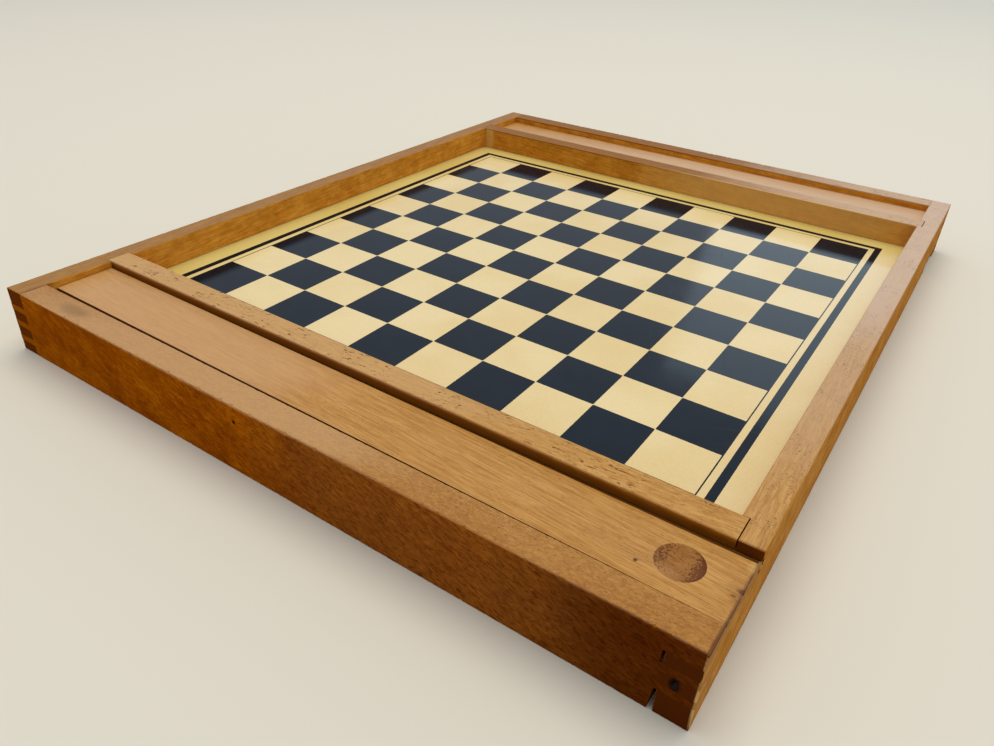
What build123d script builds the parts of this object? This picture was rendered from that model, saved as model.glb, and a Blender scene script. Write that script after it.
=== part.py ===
from build123d import *
import os

# A games compendium box: a panel with a playing face on each side stands at mid height in a
# finger-jointed frame, with a tray under a sliding lid along the front and along the back.
# Millimetres. The origin is the middle of the underside, +Z is up, and the front is -Y.
# The front tray opens upwards and the back tray downwards. Turning the box over end for end
# brings it back to itself, but for two joints worn open at the front, so the back rail, lid and
# floor are turned copies of the front ones.

# Playing faces
square_size = 30.0  # side of one square of the draughts board
square_count = 10  # squares along each side of the board
side_border = 21.0  # width of the border between the squares and a side rail
end_border = 19.5  # width of the border between the squares and a divider

# Frame
frame_height = 35.0  # of the rails and dividers
side_rail_thickness = 12.0  # of the left and right rails
end_rail_thickness = 13.6  # of the front and back rails
divider_thickness = 13.0
tray_width = 35.7  # between a divider and an end rail
housing_depth = 3.0  # how far the ends of a divider are let into the side rails

# Finger joints
side_finger = 5.5  # height of a side rail finger
end_finger = 3.3  # height of an end rail finger
lip_finger = 6.8  # height of the end rail's top finger where a lid slides out, the pull corner
open_shoulder = 1.1  # width of the gap behind two of the right rail's fingers at the front

# Panel
core_thickness = 3.0  # of the board between the two printed sheets
sheet_thickness = 0.3
panel_groove_depth = 5.0  # of the groove that holds the panel's edges
panel_slack = 0.5  # gap between the panel's edge and the bottom of its groove
panel_play = 0.1  # gap over the panel in its groove

# Lids
lid_thickness = 5.0
lid_drop = 3.4  # depth of a lid's top below the top of the frame
lid_rebate_depth = 1.2  # of the rebates that leave the tongues
tongue_reach = 3.0  # of a tongue into its groove
tongue_slack = 0.5  # gap between a tongue and the bottom of its groove
tongue_play = 0.1  # gap under and over a tongue
divider_shoulder_gap = 0.5  # between a divider and the raised middle of the lid, at the stop end
divider_shoulder_taper = 2.1  # width that this gap gains towards the pull end
rail_shoulder_gap = 3.2  # between an end rail and the raised middle of the lid, at the pull end
rail_shoulder_taper = 1.6  # width that this gap gains towards the stop end
lid_stop_gap = 0.4  # gap between the closed lid and the rail that it stops at
lid_setback = 0.3  # depth of the closed lid's pull end inside the outer face of the frame
thumb_width = 17.2  # across the thumb recess
thumb_depth = 1.9  # at its middle
thumb_from_end = 21.3  # length from the pull end to the middle of the recess
thumb_off_middle = 0.6  # offset of the recess from the lid's middle, towards the divider

# Tray floors
floor_thickness = 4.0
floor_recess = 4.7  # depth of the floor's outer side within the frame
floor_groove_depth = 4.0  # of the groove that holds the floor's edges
floor_slack = 0.5  # gap between the floor's edge and the bottom of its groove
floor_play = 0.1  # gap on the tray side of the floor in its groove

# Places worked out from the sizes above
half_well_x = square_count * square_size / 2 + side_border  # inner face of a side rail
half_well_y = square_count * square_size / 2 + end_border  # face of a divider on the playing side
half_width = half_well_x + side_rail_thickness  # outer face of a side rail
divider_out = half_well_y + divider_thickness  # tray face of a divider
tray_out = divider_out + tray_width  # tray face of an end rail
half_depth = tray_out + end_rail_thickness  # outer face of an end rail
tray_middle = (divider_out + tray_out) / 2
panel_thickness = core_thickness + 2 * sheet_thickness
panel_low = (frame_height - panel_thickness) / 2
panel_edge = panel_groove_depth - panel_slack  # how far the panel goes past the walls of the well
lid_top = frame_height - lid_drop
lid_low = lid_top - lid_thickness
tongue_top = lid_top - lid_rebate_depth
groove_low = lid_low - tongue_play
groove_top = tongue_top + tongue_play
groove_reach = tongue_reach + tongue_slack
lid_stop = -half_well_x + lid_stop_gap
lid_pull = half_width - lid_setback
floor_top = floor_recess + floor_thickness
floor_edge = floor_groove_depth - floor_slack  # how far a floor goes past the walls of its tray
finger_pitch = side_finger + end_finger
clear = 1.0  # how far a cutter runs past the face that it opens

os.makedirs("parts", exist_ok=True)


def block(x, y, z, mode=Mode.ADD):
    """A rectangular block between the two values given along each axis."""
    with Locations(((x[0] + x[1]) / 2, (y[0] + y[1]) / 2, (z[0] + z[1]) / 2)):
        Box(x[1] - x[0], y[1] - y[0], z[1] - z[0], mode=mode)


def stop_corner_fingers():
    """Low and high of each side rail finger at a stop corner, from the bottom up."""
    pitches = int((frame_height - side_finger) // finger_pitch)
    fingers = [(i * finger_pitch, i * finger_pitch + side_finger) for i in range(pitches)]
    return fingers + [(pitches * finger_pitch, frame_height)]


def pull_corner_fingers():
    """Low and high of each side rail finger at a pull corner, from the top down."""
    first_top = frame_height - lip_finger
    pitches = int((first_top - side_finger) // finger_pitch)
    tops = [first_top - i * finger_pitch for i in range(pitches)]
    return [(top - side_finger, top) for top in tops] + [(0, first_top - pitches * finger_pitch)]


def turn_over(piece, mode=Mode.ADD):
    """The copy of a piece that the box has when it is turned over, front to back."""
    with Locations((0, 0, frame_height)):
        add(piece.part, rotation=(180, 0, 0), mode=mode)


# Cutters that several pieces share. ----------------------------------------------------------

# The way of the front lid: the grooves for its tongues, which run out through the right rail,
# and the notch that lets the lid pass over that rail.
with BuildPart() as lid_way:
    block(
        (-half_well_x, half_width + clear),
        (-tray_out - groove_reach, -divider_out + groove_reach),
        (groove_low, groove_top),
    )
    block(
        (half_well_x - clear, half_width + clear),
        (-tray_out, -divider_out),
        (groove_low, frame_height + clear),
    )

# The groove round the front tray that holds its floor.
with BuildPart() as floor_way:
    block(
        (-half_well_x - floor_groove_depth, half_well_x + floor_groove_depth),
        (-tray_out - floor_groove_depth, -divider_out + floor_groove_depth),
        (floor_recess, floor_top + floor_play),
    )

# The groove round the well that holds the panel.
with BuildPart() as panel_way:
    groove_x = half_well_x + panel_groove_depth
    groove_y = half_well_y + panel_groove_depth
    block(
        (-groove_x, groove_x),
        (-groove_y, groove_y),
        (panel_low, panel_low + panel_thickness + panel_play),
    )


# Frame. --------------------------------------------------------------------------------------

# An end rail has the sockets for the fingers of both side rails.
with BuildPart() as end_rail:
    block((-half_width, half_width), (-half_depth, -tray_out), (0, frame_height))
    for low, high in stop_corner_fingers():
        block((-half_width, -half_well_x), (-half_depth, -tray_out), (low, high), Mode.SUBTRACT)
    for low, high in pull_corner_fingers():
        block((half_well_x, half_width), (-half_depth, -tray_out), (low, high), Mode.SUBTRACT)
    add(lid_way.part, mode=Mode.SUBTRACT)
    add(floor_way.part, mode=Mode.SUBTRACT)

# At the front pull corner the highest and the lowest socket have open shoulders.
with BuildPart() as front_rail:
    add(end_rail.part)
    pull_sockets = pull_corner_fingers()
    for low, high in (pull_sockets[0], pull_sockets[-1]):
        shoulder_x = (half_well_x - open_shoulder, half_well_x)
        block(shoulder_x, (-half_depth, -tray_out), (low, high), Mode.SUBTRACT)

with BuildPart() as back_rail:
    turn_over(end_rail)

# Both lids come out through the right rail: the front one over it and the back one under it.
with BuildPart() as right_rail:
    rail_x = (half_well_x, half_width)
    block(rail_x, (-tray_out, tray_out), (0, frame_height))
    for low, high in pull_corner_fingers():
        block(rail_x, (-half_depth, -tray_out), (low, high))
        block(rail_x, (tray_out, half_depth), (frame_height - high, frame_height - low))
    for housing_y in ((-divider_out, -half_well_y), (half_well_y, divider_out)):
        housing_x = (half_well_x, half_well_x + housing_depth)
        block(housing_x, housing_y, (0, frame_height), Mode.SUBTRACT)
    add(panel_way.part, mode=Mode.SUBTRACT)
    add(lid_way.part, mode=Mode.SUBTRACT)
    turn_over(lid_way, Mode.SUBTRACT)
    add(floor_way.part, mode=Mode.SUBTRACT)
    turn_over(floor_way, Mode.SUBTRACT)

# The left rail stops both lids.
with BuildPart() as left_rail:
    rail_x = (-half_width, -half_well_x)
    block(rail_x, (-tray_out, tray_out), (0, frame_height))
    for low, high in stop_corner_fingers():
        block(rail_x, (-half_depth, -tray_out), (low, high))
        block(rail_x, (tray_out, half_depth), (frame_height - high, frame_height - low))
    for housing_y in ((-divider_out, -half_well_y), (half_well_y, divider_out)):
        housing_x = (-half_well_x - housing_depth, -half_well_x)
        block(housing_x, housing_y, (0, frame_height), Mode.SUBTRACT)
    add(panel_way.part, mode=Mode.SUBTRACT)
    add(floor_way.part, mode=Mode.SUBTRACT)
    turn_over(floor_way, Mode.SUBTRACT)

# The dividers part the well from the trays, with their ends housed in the side rails.
divider_end = half_well_x + housing_depth
with BuildPart() as front_divider:
    block((-divider_end, divider_end), (-divider_out, -half_well_y), (0, frame_height))
    add(panel_way.part, mode=Mode.SUBTRACT)
    add(lid_way.part, mode=Mode.SUBTRACT)
    add(floor_way.part, mode=Mode.SUBTRACT)

with BuildPart() as back_divider:
    block((-divider_end, divider_end), (half_well_y, divider_out), (0, frame_height))
    add(panel_way.part, mode=Mode.SUBTRACT)
    turn_over(lid_way, Mode.SUBTRACT)
    turn_over(floor_way, Mode.SUBTRACT)


# Panel: a core with a printed sheet glued on each side, all three in the same groove. ---------

with BuildPart() as board_core:
    with BuildSketch(Plane.XY.offset(panel_low + sheet_thickness)):
        Rectangle(2 * (half_well_x + panel_edge), 2 * (half_well_y + panel_edge))
    extrude(amount=core_thickness)

with BuildPart() as draughts_face:
    with BuildSketch(Plane.XY.offset(panel_low + sheet_thickness + core_thickness)):
        Rectangle(2 * (half_well_x + panel_edge), 2 * (half_well_y + panel_edge))
    extrude(amount=sheet_thickness)

with BuildPart() as morris_face:
    with BuildSketch(Plane.XY.offset(panel_low)):
        Rectangle(2 * (half_well_x + panel_edge), 2 * (half_well_y + panel_edge))
    extrude(amount=sheet_thickness)


# Lids. ---------------------------------------------------------------------------------------

# The front lid is a board with a shallow rebate along each long edge, which leaves a tongue to
# run in the groove. Both rebates are planed slightly out of true.
with BuildPart() as front_lid:
    block(
        (lid_stop, lid_pull),
        (-tray_out - tongue_reach, -divider_out + tongue_reach),
        (lid_low, tongue_top),
    )
    with BuildSketch(Plane.XY.offset(tongue_top)):
        with BuildLine():
            Polyline(
                (lid_stop, -tray_out + rail_shoulder_gap + rail_shoulder_taper),
                (lid_pull, -tray_out + rail_shoulder_gap),
                (lid_pull, -divider_out - divider_shoulder_gap - divider_shoulder_taper),
                (lid_stop, -divider_out - divider_shoulder_gap),
                close=True,
            )
        make_face()
    extrude(amount=lid_rebate_depth)
    thumb_radius = ((thumb_width / 2) ** 2 + thumb_depth**2) / (2 * thumb_depth)
    thumb_y = -tray_middle + thumb_off_middle
    with Locations((lid_pull - thumb_from_end, thumb_y, lid_top - thumb_depth + thumb_radius)):
        Sphere(thumb_radius, mode=Mode.SUBTRACT)

with BuildPart() as back_lid:
    turn_over(front_lid)


# Tray floors. --------------------------------------------------------------------------------

# The back tray's floor lies uppermost, and closes the tray from above.
with BuildPart() as front_tray_floor:
    block(
        (-half_well_x - floor_edge, half_well_x + floor_edge),
        (-tray_out - floor_edge, -divider_out + floor_edge),
        (floor_recess, floor_top),
    )

with BuildPart() as back_tray_floor:
    turn_over(front_tray_floor)


pieces = {
    "front_rail": front_rail,
    "back_rail": back_rail,
    "left_rail": left_rail,
    "right_rail": right_rail,
    "front_divider": front_divider,
    "back_divider": back_divider,
    "board_core": board_core,
    "draughts_face": draughts_face,
    "morris_face": morris_face,
    "front_lid": front_lid,
    "back_lid": back_lid,
    "front_tray_floor": front_tray_floor,
    "back_tray_floor": back_tray_floor,
}
for name, piece in pieces.items():
    piece.part.label = name
    export_step(piece.part, f"parts/{name}.step")
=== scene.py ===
import math

import bmesh
import bpy
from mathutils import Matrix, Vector, noise
from mathutils.bvhtree import BVHTree


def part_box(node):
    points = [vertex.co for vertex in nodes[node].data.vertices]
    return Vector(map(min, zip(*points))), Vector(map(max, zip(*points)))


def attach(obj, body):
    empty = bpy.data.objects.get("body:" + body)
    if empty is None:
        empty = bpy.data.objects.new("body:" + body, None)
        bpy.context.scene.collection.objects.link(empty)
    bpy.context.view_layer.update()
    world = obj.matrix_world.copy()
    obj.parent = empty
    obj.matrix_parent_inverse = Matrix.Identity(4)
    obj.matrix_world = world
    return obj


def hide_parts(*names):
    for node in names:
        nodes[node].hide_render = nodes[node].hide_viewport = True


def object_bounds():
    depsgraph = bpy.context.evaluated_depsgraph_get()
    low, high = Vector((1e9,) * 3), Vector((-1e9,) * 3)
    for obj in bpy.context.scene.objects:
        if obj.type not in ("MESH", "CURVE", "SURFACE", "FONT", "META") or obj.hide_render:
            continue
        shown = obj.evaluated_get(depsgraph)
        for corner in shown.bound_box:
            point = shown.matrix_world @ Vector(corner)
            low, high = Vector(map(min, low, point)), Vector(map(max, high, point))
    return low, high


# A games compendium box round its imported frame: a panel with a playing face on each side stands
# at mid height in a finger-jointed hardwood frame. The front tray opens upwards and the back
# tray downwards, each under a lid that slides out to the right.
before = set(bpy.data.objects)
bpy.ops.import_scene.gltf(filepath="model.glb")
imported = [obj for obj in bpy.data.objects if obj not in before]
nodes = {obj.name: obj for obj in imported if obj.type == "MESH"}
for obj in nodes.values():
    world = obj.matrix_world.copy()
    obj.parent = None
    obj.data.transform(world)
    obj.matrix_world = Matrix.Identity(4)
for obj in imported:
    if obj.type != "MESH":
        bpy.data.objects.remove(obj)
cad_low, cad_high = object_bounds()


# ---------------------------------------------------------------------------------------------
# Rails and dividers. Six planed hardwood boards, stained and varnished. The rails are joined by
# glued fingers and the dividers are let into the side rails. Years of handling have rubbed the
# tops pale, rounded the arrises and broken chips out of them. Some shade, sheen and the
# reflection of a window are painted into their colours.

mm = 0.001
outer_x = cad_high.x
outer_y = cad_high.y
top_z = cad_high.z
divider_low, divider_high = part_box("front_divider")
well_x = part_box("right_rail")[0].x
well_y = -divider_high.y
divider_y = -divider_low.y
tray_y = -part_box("front_rail")[1].y

arris_round = 0.35 * mm  # of an arris that hands have rubbed
arris_reach = 0.42 * mm  # how far from an arris its wear begins
slice_length = 1.0 * mm  # between the cuts that let an arris wear unevenly
corner_reach = 2 * mm  # of the upright arrises at the ends of the rails
housing_gap = 0.4 * mm  # at the right end of each divider, where the joint has opened
socket_slant = 0.9 * mm  # by which one socket at the pull corner widens downwards
same_plane = 0.01 * mm  # within which a corner or face counts as lying on a plane
same_place = 0.001 * mm  # within which two corners count as one


def colour(red, green, blue):
    """A display colour, from 0 to 255, as the linear one that a socket takes."""
    linear = [((c / 255 + 0.055) / 1.055) ** 2.4 for c in (red, green, blue)]
    return (*linear, 1.0)


def new_material(name):
    """An empty node material with its surface shader, which is returned with the material."""
    material = bpy.data.materials.new(name)
    material.use_nodes = True
    shader = material.node_tree.nodes["Principled BSDF"]
    return material, shader


def add(material, kind, settings=(), **inputs):
    """A shader node. Inputs are numbers or other nodes' sockets, and its outputs are returned."""
    made = material.node_tree.nodes.new("ShaderNode" + kind)
    for setting, value in dict(settings).items():
        setattr(made, setting, value)
    for name, value in inputs.items():
        socket = made.inputs[int(name[1:]) if name[1:].isdigit() else name]
        if isinstance(value, bpy.types.NodeSocket):
            material.node_tree.links.new(value, socket)
        else:
            socket.default_value = value
    return made.outputs


def maths(material, operation, first, second=0.0, third=0.0):
    """The result of one sum on values or sockets."""
    return add(material, "Math", {"operation": operation}, i0=first, i1=second, i2=third)[0]


def smooth(material, value, low, high, start=0.0, end=1.0):
    """A soft step from start to end as value goes from low to high."""
    settings = {"interpolation_type": "SMOOTHSTEP"}
    return add(material, "MapRange", settings, i0=value, i1=low, i2=high, i3=start, i4=end)[0]


def blend(material, factor, first, second, mode="MIX"):
    """Two colours mixed by factor."""
    settings = {"data_type": "RGBA", "blend_type": mode}
    return add(material, "Mix", settings, i0=factor, i6=first, i7=second)[2]


def link(material, socket, shader, name):
    """Joins a socket to one input of the surface shader."""
    material.node_tree.links.new(socket, shader.inputs[name])


def grain_places(material, along, stretch=1, slope=(0.0, 0.0, 0.0)):
    """Places on a board in millimetres, drawn out along its grain, which may run at a slope."""
    places = add(material, "TexCoord")["Object"]
    scale = [mm] * 3
    scale[along] *= stretch
    settings = {"vector_type": "TEXTURE"}
    return add(material, "Mapping", settings, Vector=places, Scale=scale, Rotation=slope)[0]


def cloud(material, places, size, detail=3.0, roughness=0.55, distortion=0.0):
    """Noise whose features are about size millimetres across the grain."""
    inputs = {"Scale": 1 / size, "Detail": detail, "Roughness": roughness, "Distortion": distortion}
    return add(material, "TexNoise", Vector=places, **inputs)[0]


def tint(material, tone, share, factors):
    """Multiplies a tone by three factors, in full where share is one."""
    veil = blend(material, share, (1.0, 1.0, 1.0, 1.0), (*factors, 1.0))
    return blend(material, 1.0, tone, veil, "MULTIPLY")


def board_wood(name, along, tones, slope=(0.0, 0.0, 0.02), mottle=0.5, flecks=0.6):
    """Varnished hardwood with its grain along one axis: rubbed pale above and below, dark beside."""
    material, shader = new_material(name)
    long_grain = grain_places(material, along, 22, slope)
    short_grain = grain_places(material, along, 5, slope)
    plain = grain_places(material, along, 1, slope)
    broad = cloud(material, long_grain, 26)
    rings = cloud(material, long_grain, 1.5, 4, 0.6, 0.3)
    fibres = cloud(material, long_grain, 0.5, 3, 0.65)
    figure = cloud(material, short_grain, 0.8, 4, 0.62, 0.3)
    patches = cloud(material, plain, 22, 2)
    blotches = cloud(material, plain, 7, 4, 0.6)

    facing = add(material, "SeparateXYZ", Vector=add(material, "TexCoord")["Normal"])
    level = smooth(material, maths(material, "ABSOLUTE", facing[2]), 0.55, 0.85)
    end_on = smooth(material, maths(material, "ABSOLUTE", facing[along]), 0.45, 0.8)
    beside = maths(material, "SUBTRACT", 1.0, level)

    stained = blend(material, smooth(material, patches, 0.35, 0.65), tones["stained"], tones["ruddy"])
    rubbed = blend(material, smooth(material, broad, 0.35, 0.65), tones["rubbed"], tones["warm"])
    tone = blend(material, level, stained, rubbed)
    tone = tint(material, tone, smooth(material, rings, 0.62, 0.36), (0.86, 0.79, 0.68))
    tone = tint(material, tone, smooth(material, fibres, 0.62, 0.38), (0.80, 0.73, 0.60))
    figure_share = smooth(material, level, 0.0, 1.0, mottle, 0.3 * mottle)
    figured = maths(material, "MULTIPLY", smooth(material, figure, 0.60, 0.36), figure_share)
    tone = tint(material, tone, figured, (0.72, 0.62, 0.50))
    lit = maths(material, "MULTIPLY", smooth(material, figure, 0.52, 0.68), figure_share)
    tone = tint(material, tone, lit, (1.28, 1.24, 1.15))
    blotched = maths(material, "MULTIPLY_ADD", beside, 0.35, 0.15)
    blotched = maths(material, "MULTIPLY", smooth(material, blotches, 0.62, 0.34), blotched)
    tone = tint(material, tone, blotched, (0.70, 0.60, 0.50))

    pore_noise = cloud(material, short_grain, 0.42, 2, 0.5, 0.4)
    crowding = smooth(material, patches, 0.36, 0.64, -0.02, 0.03)
    pores = smooth(material, maths(material, "ADD", pore_noise, crowding), 0.645, 0.70)
    tone = blend(material, maths(material, "MULTIPLY", pores, flecks), tone, tones["pore"])

    speckle = smooth(material, cloud(material, plain, 0.7, 3, 0.65), 0.42, 0.66)
    speckle = maths(material, "MULTIPLY", speckle, 0.6)
    end_tone = blend(material, speckle, tones["end_grain"], tones["pore"])
    tone = blend(material, end_on, tone, end_tone)
    link(material, tone, shader, "Base Color")

    link(material, maths(material, "MULTIPLY_ADD", blotches, 0.22, 0.30), shader, "Roughness")
    shader.inputs["Specular IOR Level"].default_value = 0.25
    height = maths(material, "MULTIPLY_ADD", fibres, 0.4, maths(material, "MULTIPLY", pores, -0.7))
    bump = add(material, "Bump", Height=height, Strength=0.6, Distance=0.12 * mm)[0]
    link(material, bump, shader, "Normal")
    return material, shader


def dull_twin(material):
    """The same wood with no gloss left, for the faces that stand upright."""
    twin = material.copy()
    twin.name = f"{material.name}_upright"
    twin.node_tree.nodes["Principled BSDF"].inputs["Specular IOR Level"].default_value = 0.0
    return twin


def lay_over(material, shader, share, tone):
    """Lays a tone over a finished surface, in full where share is one."""
    before = shader.inputs["Base Color"].links[0].from_socket
    link(material, blend(material, share, before, tone), shader, "Base Color")


def patch(material, shader, middle, reach, tone, strength):
    """Stains, rubs, or paints light or shade on a soft-edged patch of a finished wood, about its
    middle.
    """
    places = add(material, "TexCoord")["Object"]
    settings = {"vector_type": "TEXTURE"}
    near = add(material, "Mapping", settings, Vector=places, Location=middle, Scale=reach)[0]
    distance = add(material, "VectorMath", {"operation": "LENGTH"}, i0=near)["Value"]
    ragged = maths(material, "MULTIPLY_ADD", cloud(material, near, 0.5, 4), 0.7, distance)
    share = smooth(material, ragged, 0.75, 1.35, strength, 0.0)
    lay_over(material, shader, share, tone)


def crack(material, shader, along, stretch, tone):
    """Marks short dark cracks and dents, in scattered clusters, on the level faces of a wood."""
    plain = grain_places(material, along)
    drawn = grain_places(material, along, stretch, (0.0, 0.0, 0.08))
    facing = add(material, "SeparateXYZ", Vector=add(material, "TexCoord")["Normal"])
    level = smooth(material, maths(material, "ABSOLUTE", facing[2]), 0.90, 0.97)
    clusters = smooth(material, cloud(material, plain, 13, 2), 0.43, 0.58, 0.0, 0.95)
    marks = smooth(material, cloud(material, drawn, 1.0, 2, 0.5, 1.0), 0.60, 0.66)
    share = maths(material, "MULTIPLY", maths(material, "MULTIPLY", marks, clusters), level)
    lay_over(material, shader, share, tone)


rail_tones = {
    "rubbed": colour(181, 130, 66),
    "warm": colour(175, 122, 56),
    "stained": colour(178, 100, 8),
    "ruddy": colour(160, 84, 5),
    "end_grain": colour(104, 48, 6),
    "pore": colour(78, 38, 14),
}
golden_tones = dict(
    rail_tones,
    rubbed=colour(199, 151, 86),
    warm=colour(193, 144, 76),
    stained=colour(222, 154, 54),
    ruddy=colour(214, 142, 44),
)
front_wood, shader = board_wood("front_rail_wood", 0, rail_tones, (0.0, 0.36, 0.05), 0.45, 0.55)
# Paler haze on the rail's top towards the left: worn varnish, with painted sheen.
haze_and_sheen = Vector((-0.25 * outer_x, -0.5 * (outer_y + tray_y), top_z))
patch(front_wood, shader, haze_and_sheen, (145 * mm, 30 * mm, 1.5 * mm), colour(196, 154, 106), 0.5)
smudge = Vector((-0.74 * outer_x, -0.5 * (outer_y + tray_y), top_z))
patch(front_wood, shader, smudge, (14 * mm, 5 * mm, 3 * mm), colour(128, 96, 56), 0.55)
# Painted shade on the outer face, darkest at the right end.
painted_shade_end = Vector((outer_x, -outer_y, 0.5 * top_z))
patch(front_wood, shader, painted_shade_end, (84 * mm, 1.6 * mm, 60 * mm), colour(78, 33, 4), 0.9)
# Lighter painted shade on the outer face, between the middle and the right end.
painted_shade_midway = Vector((0.42 * outer_x, -outer_y, 0.5 * top_z))
patch(front_wood, shader, painted_shade_midway, (100 * mm, 1.6 * mm, 60 * mm), colour(124, 72, 28), 0.6)
# A small nail hole, painted as a dark spot: the shade in it is painted, and the mesh has no hollow
# there.
nail_hole = Vector((-16.3 * mm, -outer_y, 26.6 * mm))
patch(front_wood, shader, nail_hole, (1.3 * mm, 2 * mm, 1.3 * mm), colour(34, 10, 2), 0.97)
far_corner = Vector((-outer_x, -outer_y, 0.5 * top_z))
patch(front_wood, shader, far_corner, (15 * mm, 1.6 * mm, 60 * mm), colour(138, 72, 10), 0.6)
corner_joint = Vector((-well_x, -0.5 * (outer_y + tray_y), top_z))
patch(front_wood, shader, corner_joint, (0.8 * mm, 13 * mm, 1.5 * mm), colour(84, 46, 16), 0.8)
# The right end face is painted paler: rubbed wear, with painted light where it faces the light from
# the right.
rubbed_and_lit_end = Vector((outer_x, -0.5 * (outer_y + tray_y), 0.5 * top_z))
patch(front_wood, shader, rubbed_and_lit_end, (0.9 * mm, 30 * mm, 60 * mm), colour(182, 134, 80), 0.75)
dirty_arris = Vector((outer_x, -outer_y + 6 * mm, top_z))
patch(front_wood, shader, dirty_arris, (1.4 * mm, 22 * mm, 1.3 * mm), colour(84, 40, 6), 0.85)

# Torn grain on the outer face of the front rail: short dark furrows with paler ridges between,
# fainter towards the far end.
facing = add(front_wood, "SeparateXYZ", Vector=add(front_wood, "TexCoord")["Normal"])
outward = smooth(front_wood, facing[1], -0.6, -0.9)
along_x = add(front_wood, "SeparateXYZ", Vector=add(front_wood, "TexCoord")["Object"])[0]
nearness = smooth(front_wood, along_x, -outer_x, 0.4 * outer_x, 0.3, 1.0)
outward = maths(front_wood, "MULTIPLY", outward, nearness)
torn = cloud(front_wood, grain_places(front_wood, 0, 3.5, (0.0, 0.3, 0.2)), 1.0, 4, 0.62, 0.7)
furrows = maths(front_wood, "MULTIPLY", smooth(front_wood, torn, 0.52, 0.34), outward)
ridges = maths(front_wood, "MULTIPLY", smooth(front_wood, torn, 0.50, 0.68), outward)
tone = shader.inputs["Base Color"].links[0].from_socket
tone = tint(front_wood, tone, furrows, (0.62, 0.52, 0.42))
tone = tint(front_wood, tone, ridges, (1.30, 1.34, 1.6))
link(front_wood, tone, shader, "Base Color")

golden_wood, shader = board_wood("golden_wood", 0, golden_tones, (0.0, 0.08, 0.03), 0.2, 0.5)
shader.inputs["Specular IOR Level"].default_value = 0.12
faded = Vector((-well_x + 5 * mm, well_y, 0.8 * top_z))
patch(golden_wood, shader, faded, (6 * mm, 5 * mm, 24 * mm), colour(214, 168, 88), 0.75)
# Paler haze on the front divider's top towards the left: worn varnish, with painted sheen.
haze_and_sheen = Vector((-0.4 * outer_x, -0.5 * (divider_y + well_y), top_z))
patch(golden_wood, shader, haze_and_sheen, (230 * mm, 20 * mm, 1.5 * mm), colour(198, 158, 108), 0.5)
browned = Vector((-0.5 * outer_x, 0.5 * (divider_y + outer_y), top_z))
patch(golden_wood, shader, browned, (310 * mm, 80 * mm, 1.5 * mm), colour(134, 82, 12), 0.92)
# Painted reflection of a window's light on the back rail's and back divider's tops on the right.
haze_and_sheen = Vector((outer_x, 0.5 * (divider_y + outer_y), top_z))
patch(golden_wood, shader, haze_and_sheen, (190 * mm, 80 * mm, 1.5 * mm), colour(190, 160, 130), 0.65)
# Painted shade on the front divider's face above the front lid.
grime_and_shade = Vector((0.0, -divider_y, top_z - 5 * mm))
patch(golden_wood, shader, grime_and_shade, (900 * mm, 1.8 * mm, 8 * mm), colour(104, 52, 8), 0.9)
# Painted reflection of a window's light on the back divider's face above the well.
window_reflection = Vector((0.45 * outer_x, well_y, 0.8 * top_z))
patch(golden_wood, shader, window_reflection, (125 * mm, 2 * mm, 40 * mm), colour(224, 174, 98), 0.55)
crack(golden_wood, shader, 0, 4, colour(106, 62, 18))

left_tones = dict(
    golden_tones,
    rubbed=colour(168, 120, 52),
    warm=colour(162, 112, 44),
    stained=colour(236, 168, 66),
    ruddy=colour(230, 158, 56),
)
left_wood, shader = board_wood("left_rail_wood", 1, left_tones, (0.06, 0.0, 0.02), 0.15, 0.2)
patch(left_wood, shader, corner_joint, (0.8 * mm, 13 * mm, 1.5 * mm), colour(84, 46, 16), 0.8)

right_tones = dict(
    golden_tones,
    stained=colour(212, 154, 80),
    ruddy=colour(202, 142, 66),
    end_grain=colour(80, 34, 3),
)
right_wood, shader = board_wood("right_rail_wood", 1, right_tones, (0.06, 0.0, 0.02), 0.2, 0.15)
corner = Vector((outer_x, -outer_y, 0.35 * top_z))
patch(right_wood, shader, corner, (1.0 * mm, 1.0 * mm, 16 * mm), colour(214, 172, 112), 0.8)
finger_hole = ((174.8 * mm, 176.7 * mm), (14.6 * mm, 18.4 * mm))
# The inside of the broken hole between two fingers is painted near black as its shade.
hole_place = Vector((175.7 * mm, -outer_y + 1.5 * mm, 16.5 * mm))
patch(right_wood, shader, hole_place, (2.6 * mm, 5 * mm, 4.6 * mm), colour(26, 10, 4), 0.97)
# Painted shade on the right rail in line with the front divider's face, above the front lid.
grime_and_shade = Vector((outer_x, -divider_y, top_z - 5 * mm))
patch(right_wood, shader, grime_and_shade, (60 * mm, 1.8 * mm, 8 * mm), colour(96, 46, 6), 0.9)
# Painted reflection of a window's light on the right rail's top, stronger towards the back.
haze_and_sheen = Vector((0.5 * (well_x + outer_x), -0.1 * outer_y, top_z))
patch(right_wood, shader, haze_and_sheen, (30 * mm, 135 * mm, 1.5 * mm), colour(186, 150, 112), 0.5)
haze_and_sheen = Vector((0.5 * (well_x + outer_x), 0.6 * outer_y, top_z))
patch(right_wood, shader, haze_and_sheen, (30 * mm, 190 * mm, 1.5 * mm), colour(198, 170, 146), 0.65)
crack(right_wood, shader, 1, 0.8, colour(112, 74, 42))

# What touches a piece decides which of its arrises are open to wear.
depsgraph = bpy.context.evaluated_depsgraph_get()
surfaces = {name: BVHTree.FromObject(part, depsgraph) for name, part in nodes.items()}


def planed_copy(node):
    """A CAD piece as a mesh of whole flat faces."""
    board = bmesh.new()
    board.from_mesh(nodes[node].data)
    bmesh.ops.remove_doubles(board, verts=board.verts, dist=same_place)
    flat = math.radians(0.5)
    bmesh.ops.dissolve_limit(board, angle_limit=flat, verts=board.verts, edges=board.edges)
    return board


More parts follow.
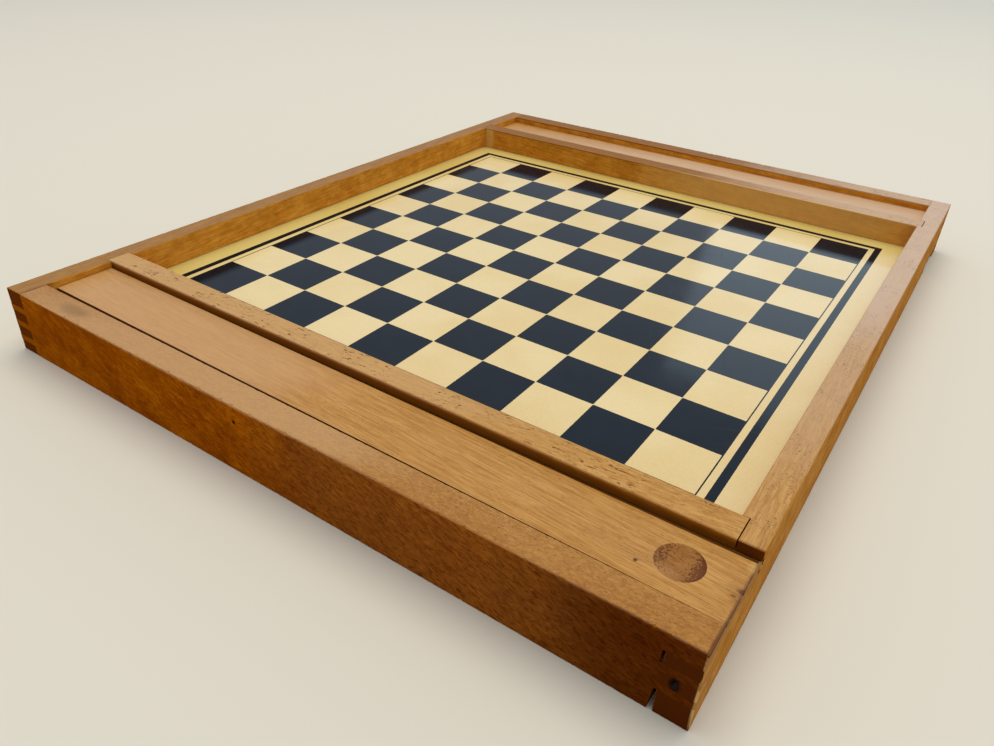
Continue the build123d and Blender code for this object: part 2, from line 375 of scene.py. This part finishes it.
def stands_open(edge, node):
    """Whether an edge is an outside arris with no other piece fitted against it."""
    if len(edge.link_faces) != 2 or not edge.is_convex:
        return False
    if edge.calc_face_angle() < math.radians(40):
        return False
    middle = (edge.verts[0].co + edge.verts[1].co) / 2
    nearest = [tree.find_nearest(middle)[3] for name, tree in surfaces.items() if name != node]
    return min(nearest) > 0.05 * mm


def ease_arrises(board, node, width):
    """Takes the sharpness off the open arrises."""
    edges = [edge for edge in board.edges if stands_open(edge, node)]
    settings = {"segments": 2, "profile": 0.5, "material": -1, "clamp_overlap": True}
    bmesh.ops.bevel(board, geom=edges, affect="EDGES", offset=width, **settings)


def cut_faces(board, faces, axis, place, nearness):
    """Cuts some of a board's faces across an axis. Corners within nearness count as on the cut."""
    normal = Vector((0, 0, 0))
    normal[axis] = 1
    edges = {edge for face in faces for edge in face.edges}
    verts = {vert for face in faces for vert in face.verts}
    plane = {"dist": nearness, "plane_co": normal * place, "plane_no": normal}
    bmesh.ops.bisect_plane(board, geom=[*verts, *edges, *faces], **plane)


def cut_across(board, axis, start, end, step, inside=lambda middle: True):
    """Cuts a board's faces across every step, so that its arrises can be worn."""
    for i in range(1, int((end - start) / step)):
        faces = [face for face in board.faces if inside(face.calc_center_median())]
        cut_faces(board, faces, axis, start + i * step, same_plane)


def wear_arris(board, first, second, size, seed):
    """Wears the arris between two faces, each given as its axis, its place and its outward way."""
    along = 3 - first[0] - second[0]
    for vert in board.verts:
        depths = [(place - vert.co[axis]) * way for axis, place, way in (first, second)]
        if max(depths) > arris_reach or min(depths) < -same_plane:
            continue
        place = vert.co[along] / mm
        rub = 0.5 + 0.5 * noise.noise((place / 30, seed, 0))
        chip = max(0, noise.noise((place / 2.2, seed, 5)) - 0.06)
        split = max(0, noise.noise((place / 9, seed, 9)) - 0.28)
        depth = size * (0.15 * rub + 1.9 * chip + 1.0 * split)
        for this, other in ((0, 1), (1, 0)):
            axis, _, way = (first, second)[this]
            share = 1 if depths[other] < same_plane else 0 if depths[this] < same_plane else 0.5
            vert.co[axis] -= way * share * depth


def break_out(board, axis, place, across, depth):
    """Breaks a small hole in the face at place on an axis, between two values on each other axis."""
    sides = list(zip([other for other in range(3) if other != axis], across))

    def in_reach(face, margin):
        middle = face.calc_center_median()
        if abs(middle[axis] - place) > same_plane or abs(face.normal[axis]) < 0.9:
            return False
        return all(start - margin < middle[side] < end + margin for side, (start, end) in sides)

    for side, ends in sides:
        for end in ends:
            faces = [face for face in board.faces if in_reach(face, 20 * mm)]
            cut_faces(board, faces, side, end, same_place)
    hole = [face for face in board.faces if in_reach(face, 0)]
    narrowing = 0.2 * min(end - start for start, end in across)
    bmesh.ops.inset_region(board, faces=hole, thickness=narrowing, depth=-depth)


def finish_piece(board, name, materials, node, body, level=0.97):
    """Makes the worn board, glossy where it is level, the piece that stands for its CAD node."""
    mesh = bpy.data.meshes.new(name)
    board.to_mesh(mesh)
    board.free()
    for face in mesh.polygons:
        face.use_smooth = True
        face.material_index = int(abs(face.normal.z) < level)
    mesh.set_sharp_from_angle(angle=math.radians(24))
    for material in materials:
        mesh.materials.append(material)
    piece = bpy.data.objects.new(name, mesh)
    bpy.context.scene.collection.objects.link(piece)
    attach(piece, body)
    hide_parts(node)


above = (2, top_z, 1)
below = (2, 0, -1)
front_woods = (front_wood, dull_twin(front_wood))
golden_woods = (golden_wood, dull_twin(golden_wood))
for end, way in (("front", -1), ("back", 1)):
    rail = planed_copy(f"{end}_rail")
    if end == "front":
        # The lowest socket at the pull corner was sawn on a slant, so its gap widens downwards.
        for vert in rail.verts:
            if well_x - 2 * mm < vert.co.x < well_x - 0.1 * mm and vert.co.z < 0.1 * mm:
                vert.co.x -= socket_slant
    ease_arrises(rail, f"{end}_rail", arris_round)
    cut_across(rail, 0, -outer_x, outer_x, slice_length)
    outside = (1, way * outer_y, way)
    corner_x = outer_x - corner_reach
    cut_across(rail, 2, 0, top_z, slice_length, lambda middle: abs(middle.x) > corner_x)
    wear_arris(rail, above, outside, 1.05 * mm, 1 + way)
    wear_arris(rail, below, outside, 0.4 * mm, 3 + way)
    wear_arris(rail, above, (1, way * tray_y, -way), 0.2 * mm, 5 + way)
    wear_arris(rail, outside, (0, outer_x, 1), 0.7 * mm, 7 + way)
    wear_arris(rail, outside, (0, -outer_x, -1), 0.2 * mm, 9 + way)
    woods = front_woods if end == "front" else golden_woods
    finish_piece(rail, f"worn_{end}_rail", woods, f"{end}_rail", "box")

    divider = planed_copy(f"{end}_divider")
    for vert in divider.verts:
        if vert.co.x > well_x:
            vert.co.x -= housing_gap
    ease_arrises(divider, f"{end}_divider", 0.25 * mm)
    cut_across(divider, 0, -outer_x, outer_x, 2 * slice_length)
    wear_arris(divider, above, (1, way * divider_y, way), 0.3 * mm, 11 + way)
    wear_arris(divider, below, (1, way * divider_y, way), 0.3 * mm, 13 + way)
    finish_piece(divider, f"worn_{end}_divider", golden_woods, f"{end}_divider", "box")

for side, way, wood in (("left", -1, left_wood), ("right", 1, right_wood)):
    rail = planed_copy(f"{side}_rail")
    ease_arrises(rail, f"{side}_rail", arris_round)
    cut_across(rail, 1, -outer_y, outer_y, 1.5 * slice_length)
    outside = (0, way * outer_x, way)
    corner_y = outer_y - corner_reach
    cut_across(rail, 2, 0, top_z, slice_length, lambda middle: abs(middle.y) > corner_y)
    wear_arris(rail, above, outside, 0.4 * mm, 21 + way)
    wear_arris(rail, below, outside, 0.4 * mm, 23 + way)
    wear_arris(rail, outside, (1, -outer_y, -1), (0.6 + 0.5 * way) * mm, 25 + way)
    wear_arris(rail, outside, (1, outer_y, 1), 0.3 * mm, 27 + way)
    if side == "right":
        break_out(rail, 1, -outer_y, finger_hole, 3 * mm)
    woods = (wood, dull_twin(wood))
    finish_piece(rail, f"worn_{side}_rail", woods, f"{side}_rail", "box")


# ---------------------------------------------------------------------------------------------
# Panel. A hardboard core with a printed sheet glued on each side, gloss varnished. The upper
# sheet has the draughts board, the lower one the three squares of nine men's morris.

square = 30 * mm
half_grid = 5 * square
print_offset = (-0.6 * mm, -1.0 * mm, 0.0)  # the print lies a little off the middle of the panel
print_wander = 0.22 * mm  # of the printed edges, which aren't quite straight
wander_scale = 1100.0  # of the noise that moves them, in features to the metre
edge_line = 0.33 * mm  # half the width of the line round the playing area
band_start = 3.5 * mm  # from the edge of the playing area to the band round it
band_end = 7.5 * mm  # and to the outer side of the band
corner_cut = 0.45 * mm  # taken off the corners of each printed square
morris_line = 0.8 * mm  # half the width of the lines of the morris board
morris_dot = 3.2 * mm  # radius of its points
cream = colour(225, 202, 150)
cream_aged = colour(219, 192, 134)
ink = colour(3, 16, 27)


def printed_sheet(name):
    """A sheet's material, its shader, and places across it from the middle of the print."""
    material, shader = new_material(name)
    places = add(material, "TexCoord")["Object"]
    wander = add(material, "TexNoise", Vector=places, Scale=wander_scale, Detail=2.0)[1]
    shifted = add(material, "VectorMath", {"operation": "SUBTRACT"}, i0=wander, i1=(0.5, 0.5, 0.5))[0]
    small = add(material, "VectorMath", {"operation": "SCALE"}, i0=shifted, Scale=print_wander)[0]
    moved = add(material, "VectorMath", {"operation": "ADD"}, i0=places, i1=small)[0]
    centred = add(material, "VectorMath", {"operation": "SUBTRACT"}, i0=moved, i1=print_offset)[0]
    across_x, across_y, _ = add(material, "SeparateXYZ", Vector=centred)
    return material, shader, across_x, across_y


def between(material, value, low, high):
    """One where value lies between low and high, and nought elsewhere."""
    return maths(material, "COMPARE", value, (low + high) / 2, (high - low) / 2)


def either(material, *masks):
    """The largest of several masks."""
    whole = masks[0]
    for mask in masks[1:]:
        whole = maths(material, "MAXIMUM", whole, mask)
    return whole


def border(material, from_middle):
    """The line round the playing area and the band outside it."""
    line = between(material, from_middle, half_grid - edge_line, half_grid + edge_line)
    band = between(material, from_middle, half_grid + band_start, half_grid + band_end)
    return either(material, line, band)


def varnish(material, shader, inked):
    """Ink on aged paper under scratched gloss varnish, thin beside two walls, whose reflection is
    painted on.
    """
    plain = grain_places(material, 0)
    paper = blend(material, smooth(material, cloud(material, plain, 60), 0.35, 0.7), cream, cream_aged)
    fibres = smooth(material, cloud(material, plain, 1.6, 4, 0.7), 0.3, 0.7, 0.965, 1.015)
    paper = blend(material, 1.0, paper, fibres, "MULTIPLY")
    plain_x, plain_y, _ = add(material, "SeparateXYZ", Vector=plain)
    # Painted golden reflection of the left and back walls in the varnish beside them.
    left_wall_reflection = smooth(material, plain_x, -142, -164)
    back_wall_reflection = smooth(material, plain_y, 136, 162)
    wall_reflection = either(material, left_wall_reflection, back_wall_reflection)
    paper = tint(material, paper, wall_reflection, (0.84, 0.82, 0.48))
    specks = smooth(material, cloud(material, plain, 1.1, 2, 0.4), 0.74, 0.78, 0.0, 0.35)
    paper = blend(material, specks, paper, colour(150, 112, 60))
    inks = smooth(material, cloud(material, plain, 14, 4, 0.6), 0.3, 0.7, 0.8, 1.25)
    inked_tone = blend(material, 1.0, ink, inks, "MULTIPLY")
    link(material, blend(material, inked, paper, inked_tone), shader, "Base Color")
    scratch_a = grain_places(material, 0, 40, (0.0, 0.0, 0.5))
    scratch_b = grain_places(material, 1, 30, (0.0, 0.0, 0.35))
    fine_a = smooth(material, cloud(material, scratch_a, 0.9, 1), 0.70, 0.74)
    fine_b = smooth(material, cloud(material, scratch_b, 1.1, 1), 0.70, 0.74)
    scratches = either(material, fine_a, fine_b)
    dull = smooth(material, cloud(material, plain, 30, 3), 0.3, 0.7, 0.07, 0.12)
    link(material, maths(material, "MULTIPLY_ADD", scratches, 0.12, dull), shader, "Roughness")
    ripple = maths(material, "MULTIPLY_ADD", scratches, -0.25, cloud(material, plain, 9, 2))
    bump = add(material, "Bump", Height=ripple, Strength=0.12, Distance=0.05 * mm)[0]
    link(material, bump, shader, "Normal")
    leftward = smooth(material, plain_x, 60, -140, 0.0, 0.38)
    left_row = smooth(material, plain_x, -134, -144)
    back_row = smooth(material, plain_y, 118, 128)
    thin = either(material, leftward, left_row, back_row)
    link(material, maths(material, "MULTIPLY_ADD", thin, -0.26, 0.32), shader, "Specular IOR Level")


draughts, shader, across_x, across_y = printed_sheet("draughts_board_print")
from_x = maths(draughts, "ABSOLUTE", across_x)
from_y = maths(draughts, "ABSOLUTE", across_y)
from_middle = maths(draughts, "MAXIMUM", from_x, from_y)
columns = maths(draughts, "DIVIDE", across_x, square)
rows = maths(draughts, "DIVIDE", across_y, square)
count = maths(draughts, "ADD", maths(draughts, "FLOOR", columns), maths(draughts, "FLOOR", rows))
dark_square = maths(draughts, "LESS_THAN", maths(draughts, "FLOORED_MODULO", count, 2), 0.5)
corner_x = maths(draughts, "PINGPONG", columns, 0.5)
corner_y = maths(draughts, "PINGPONG", rows, 0.5)
from_corner = maths(draughts, "ADD", corner_x, corner_y)
whole_corner = maths(draughts, "GREATER_THAN", from_corner, corner_cut / square)
in_grid = maths(draughts, "LESS_THAN", from_middle, half_grid)
squares = maths(draughts, "MULTIPLY", maths(draughts, "MULTIPLY", dark_square, whole_corner), in_grid)
varnish(draughts, shader, either(draughts, squares, border(draughts, from_middle)))
nodes["draughts_face"].data.materials[0] = draughts

# The morris board has squares of 90, 180 and 270 mm, joined at the middles of their sides. Each
# corner and middle has a point, and nothing is drawn inside the smallest square.
morris, shader, across_x, across_y = printed_sheet("morris_board_print")
from_x = maths(morris, "ABSOLUTE", across_x)
from_y = maths(morris, "ABSOLUTE", across_y)
from_middle = maths(morris, "MAXIMUM", from_x, from_y)
nearer = maths(morris, "MINIMUM", from_x, from_y)
step = 1.5 * square
ring = maths(morris, "ROUND", maths(morris, "DIVIDE", from_middle, step))
ring_place = maths(morris, "MULTIPLY", ring, step)
off_ring = maths(morris, "ABSOLUTE", maths(morris, "SUBTRACT", from_middle, ring_place))
on_ring = maths(morris, "LESS_THAN", off_ring, morris_line)
inside = between(morris, from_middle, 0.9 * step, 3 * step + morris_line)
spoke = maths(morris, "LESS_THAN", nearer, morris_line)
lines = maths(morris, "MULTIPLY", either(morris, on_ring, spoke), inside)
off_side = maths(morris, "POWER", nearer, 2)
from_corner = maths(morris, "ABSOLUTE", maths(morris, "SUBTRACT", ring_place, nearer))
off_corner = maths(morris, "POWER", from_corner, 2)
off_point = maths(morris, "MINIMUM", off_side, off_corner)
apart = maths(morris, "SQRT", maths(morris, "ADD", off_point, maths(morris, "POWER", off_ring, 2)))
near_point = maths(morris, "LESS_THAN", apart, morris_dot)
points = maths(morris, "MULTIPLY", near_point, between(morris, from_middle, 0.8 * step, 3.2 * step))
varnish(morris, shader, either(morris, lines, points, border(morris, from_middle)))
nodes["morris_face"].data.materials[0] = morris

# The core is bare brown hardboard, which shows only at the edges inside its groove.
hardboard, shader = new_material("hardboard")
plain = grain_places(hardboard, 0)
fluff = smooth(hardboard, cloud(hardboard, plain, 1.2, 5, 0.7), 0.3, 0.7)
brown = blend(hardboard, fluff, colour(112, 82, 54), colour(146, 112, 78))
link(hardboard, brown, shader, "Base Color")
shader.inputs["Roughness"].default_value = 0.85
bump = add(hardboard, "Bump", Height=fluff, Strength=0.4, Distance=0.1 * mm)[0]
link(hardboard, bump, shader, "Normal")
nodes["board_core"].data.materials[0] = hardboard


# ---------------------------------------------------------------------------------------------
# Sliding lids. Each is one straight-grained hardwood board with a rebate along both long edges
# and a thumb recess scooped near its pull end, where end grain shows dark and rough. Some shade,
# sheen and light on the pull end are painted into the wood's colour.

thumb_from_end = 21.3 * mm
thumb_off_middle = 0.6 * mm
thumb_radius = 8.6 * mm
pull_end = 9 * mm  # of the lid, within which its top arris can be worn
lid_tones = {
    "rubbed": colour(198, 148, 81),
    "warm": colour(191, 139, 67),
    "stained": colour(110, 54, 14),
    "ruddy": colour(96, 44, 10),
    "end_grain": colour(112, 58, 20),
    "pore": colour(96, 52, 18),
}
recess_tone = colour(140, 88, 32)
recess_worn = colour(168, 116, 56)
# Dark tone of the pits, also used for the painted shade inside the recess.
pit_and_shade_tone = colour(88, 40, 2)


def scoop(material, shader, middle):
    """Colours the thumb recess: brown with the grain, pitted and dirty across it, with painted shade
    at its right.
    """
    places = add(material, "TexCoord")["Object"]
    from_middle = add(material, "VectorMath", {"operation": "SUBTRACT"}, i0=places, i1=middle)[0]
    off_x, off_y, off_z = add(material, "SeparateXYZ", Vector=from_middle)
    flat = add(material, "CombineXYZ", X=off_x, Y=off_y)[0]
    distance = add(material, "VectorMath", {"operation": "LENGTH"}, i0=flat)["Value"]
    out = maths(material, "DIVIDE", distance, thumb_radius)
    scooped_side = smooth(material, maths(material, "ABSOLUTE", off_z), 3.2 * mm, 3.6 * mm, 1.0, 0.0)
    inside = maths(material, "MULTIPLY", smooth(material, out, 0.985, 1.01, 1.0, 0.0), scooped_side)
    near_side = smooth(material, off_y, -0.75 * thumb_radius, -0.1 * thumb_radius, 1.0, 0.0)
    plain = grain_places(material, 0)
    drawn = grain_places(material, 0, 3, (0.0, 0.0, 0.3))
    streaks = smooth(material, cloud(material, drawn, 1.4, 4, 0.65), 0.35, 0.65)
    tone = blend(material, maths(material, "MULTIPLY", streaks, 0.5), recess_tone, recess_worn)
    left_rub = smooth(material, off_x, -0.6 * thumb_radius, 0.3 * thumb_radius, 1.0, 0.2)
    worn = maths(material, "MULTIPLY", near_side, left_rub)
    tone = blend(material, maths(material, "MULTIPLY", worn, 0.8), tone, recess_worn)
    across_grain = maths(material, "DIVIDE", maths(material, "ABSOLUTE", off_x), thumb_radius)
    pit_noise = cloud(material, plain, 0.85, 4, 0.7)
    pitted = smooth(material, across_grain, 0.1, 0.85, -0.08, 0.06)
    right_pits = smooth(material, off_x, 0.0, 0.8 * thumb_radius, 0.0, 0.08)
    pitted = maths(material, "ADD", pitted, right_pits)
    pits = smooth(material, maths(material, "ADD", pit_noise, pitted), 0.50, 0.59)
    tone = blend(material, maths(material, "MULTIPLY", pits, 0.8), tone, pit_and_shade_tone)
    # Painted shade: a dark crescent inside the recess's right side.
    right_side = smooth(material, off_x, 0.35 * thumb_radius, 0.8 * thumb_radius)
    painted_shade_crescent = maths(material, "MULTIPLY", smooth(material, out, 0.80, 0.97), right_side)
    tone = blend(material, maths(material, "MULTIPLY", painted_shade_crescent, 0.75), tone, pit_and_shade_tone)
    lay_over(material, shader, inside, tone)


for end, way in (("front", -1), ("back", 1)):
    lid_low, lid_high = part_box(f"{end}_lid")
    face_z = lid_high.z if end == "front" else lid_low.z
    thumb_y = 0.5 * (lid_low.y + lid_high.y) - way * thumb_off_middle
    thumb_place = (lid_high.x - thumb_from_end, thumb_y, face_z)
    wood, shader = board_wood(f"{end}_lid_wood", 0, lid_tones, (0.0, 0.0, 0.05 * way), 0.3, 0.3)
    # Paler haze on the lid towards the left: worn varnish, with painted sheen.
    haze_and_sheen = Vector((-0.5 * outer_x, thumb_y, face_z))
    patch(wood, shader, haze_and_sheen, (130 * mm, 60 * mm, 1 * mm), colour(196, 150, 102), 0.6)
    # Dirt and painted shade in the rebates and on the faces just below the lid's top.
    grime_and_shade = Vector((0.0, 0.5 * (lid_low.y + lid_high.y), face_z + way * 1.7 * mm))
    patch(wood, shader, grime_and_shade, (900 * mm, 90 * mm, 1.45 * mm), colour(86, 42, 10), 0.9)
    # The pull end's face is painted paler: rubbed wear, with painted light where it faces the light
    # from the right.
    rubbed_and_lit_end = Vector((lid_high.x, grime_and_shade.y, face_z + way * 2.5 * mm))
    patch(wood, shader, rubbed_and_lit_end, (0.9 * mm, 90 * mm, 8 * mm), colour(184, 136, 84), 0.75)
    dirty_arris = Vector((lid_high.x, grime_and_shade.y, face_z))
    patch(wood, shader, dirty_arris, (1.3 * mm, 60 * mm, 1.2 * mm), colour(84, 40, 6), 0.85)
    if end == "front":
        # A small hole in the front lid, painted as a dark spot: the shade in it is painted, and the
        # mesh has no hollow there.
        worm_hole = Vector((149.2 * mm, -207.4 * mm, face_z))
        patch(wood, shader, worm_hole, (1.0 * mm, 1.0 * mm, 2 * mm), colour(64, 26, 2), 0.9)
        dirty_chip = Vector((182.2 * mm, -199.4 * mm, face_z))
        patch(wood, shader, dirty_chip, (2.6 * mm, 1.6 * mm, 2 * mm), colour(78, 38, 6), 0.75)
        dirty_nick = Vector((180.2 * mm, -202.6 * mm, face_z))
        patch(wood, shader, dirty_nick, (1.5 * mm, 0.6 * mm, 2 * mm), colour(84, 42, 8), 0.7)
        frayed = Vector((181.6 * mm, -187.6 * mm, face_z))
        patch(wood, shader, frayed, (2.4 * mm, 4 * mm, 2 * mm), colour(206, 164, 100), 0.35)
    scoop(wood, shader, thumb_place)
    lid = planed_copy(f"{end}_lid")
    pull_x = lid_high.x - pull_end
    cut_across(lid, 1, lid_low.y, lid_high.y, slice_length, lambda middle: middle.x > pull_x)
    wear_arris(lid, (2, face_z, -way), (0, lid_high.x, 1), 0.6 * mm, 31 + way)
    woods = (wood, dull_twin(wood))
    finish_piece(lid, f"worn_{end}_lid", woods, f"{end}_lid", f"{end}_lid", 0.8)


# ---------------------------------------------------------------------------------------------
# Tray floors. Two thin boards held in grooves. The front one lies under its tray, and the back
# one over its tray, where it has been rubbed as pale as the rails and carries a painted
# reflection of a window's light, stronger towards the right.

tray_floor_wood, shader = board_wood("tray_floor_wood", 0, golden_tones, (0.0, 0.0, -0.03), 0.3, 0.3)
# Painted reflection of a window's light on the back floor, stronger towards the right.
haze_and_sheen = Vector((0.5 * outer_x, 0.5 * (divider_y + tray_y), top_z - 5 * mm))
patch(tray_floor_wood, shader, haze_and_sheen, (300 * mm, 60 * mm, 6 * mm), colour(204, 172, 140), 0.65)
for node_name in ("front_tray_floor", "back_tray_floor"):
    nodes[node_name].data.materials[0] = tray_floor_wood


# ---------------------------------------------------------------------------------------------
# Studio: a plain pale floor, a pale even surround, a large soft light overhead, a dim bluish
# panel far behind on the right that gives the sheen of a window, and the camera.

floor_size = 30
world_strength = 0.92  # of the light that the surround casts
seen_strength = 0.78  # of the surround as it is seen, directly or in a gloss
lamps = {
    "overhead_light": ((-0.1, 0.3, 2.5), (2.2, 2.0), 42, (1.0, 0.95, 0.86)),
    "window_panel": ((0.5, 3.4, 1.3), (3.0, 1.8), 12, (0.66, 0.86, 1.0)),
}

bpy.ops.mesh.primitive_plane_add(size=floor_size)
floor = bpy.context.object
floor.name = "studio_floor"
floor_paint, shader = new_material("studio_floor_paint")
shader.inputs["Base Color"].default_value = colour(216, 207, 188)
shader.inputs["Roughness"].default_value = 0.8
floor.data.materials.append(floor_paint)

world = bpy.data.worlds.new("studio")
bpy.context.scene.world = world
world.use_nodes = True
surround = world.node_tree
path = surround.nodes.new("ShaderNodeLightPath")
seen = path.outputs["Is Camera Ray"]
for ray in ("Is Glossy Ray", "Is Transmission Ray"):
    widest = surround.nodes.new("ShaderNodeMath")
    widest.operation = "MAXIMUM"
    surround.links.new(seen, widest.inputs[0])
    surround.links.new(path.outputs[ray], widest.inputs[1])
    seen = widest.outputs[0]
strength = surround.nodes.new("ShaderNodeMapRange")
surround.links.new(seen, strength.inputs["Value"])
strength.inputs["To Min"].default_value = world_strength
strength.inputs["To Max"].default_value = seen_strength
background = surround.nodes["Background"]
background.inputs["Color"].default_value = colour(206, 215, 228)
surround.links.new(strength.outputs["Result"], background.inputs["Strength"])

for name, (place, size, energy, tone) in lamps.items():
    light = bpy.data.lights.new(name, "AREA")
    light.shape = "RECTANGLE"
    light.size, light.size_y = size
    light.energy = energy
    light.color = tone
    lamp = bpy.data.objects.new(name, light)
    lamp.location = place
    lamp.rotation_mode = "QUATERNION"
    lamp.rotation_quaternion = lamp.location.to_track_quat("Z", "Y")
    bpy.context.scene.collection.objects.link(lamp)
bpy.data.objects["overhead_light"].visible_glossy = False

# The camera is held low beside the pull corner and looks across the board to the far tray.
camera_data = bpy.data.cameras.new("camera")
camera_data.sensor_width = 36
camera_data.lens = 28.276
camera_data.shift_x = 0.01073
camera_data.shift_y = -0.01053
camera_data.clip_start = 0.01
camera = bpy.data.objects.new("camera", camera_data)
camera.location = (0.20654, -0.38747, 0.21693)
camera.rotation_euler = [math.radians(angle) for angle in (58.153, -2.153, 34.633)]
bpy.context.scene.collection.objects.link(camera)
bpy.context.scene.camera = camera
bpy.context.scene.view_settings.view_transform = "Standard"
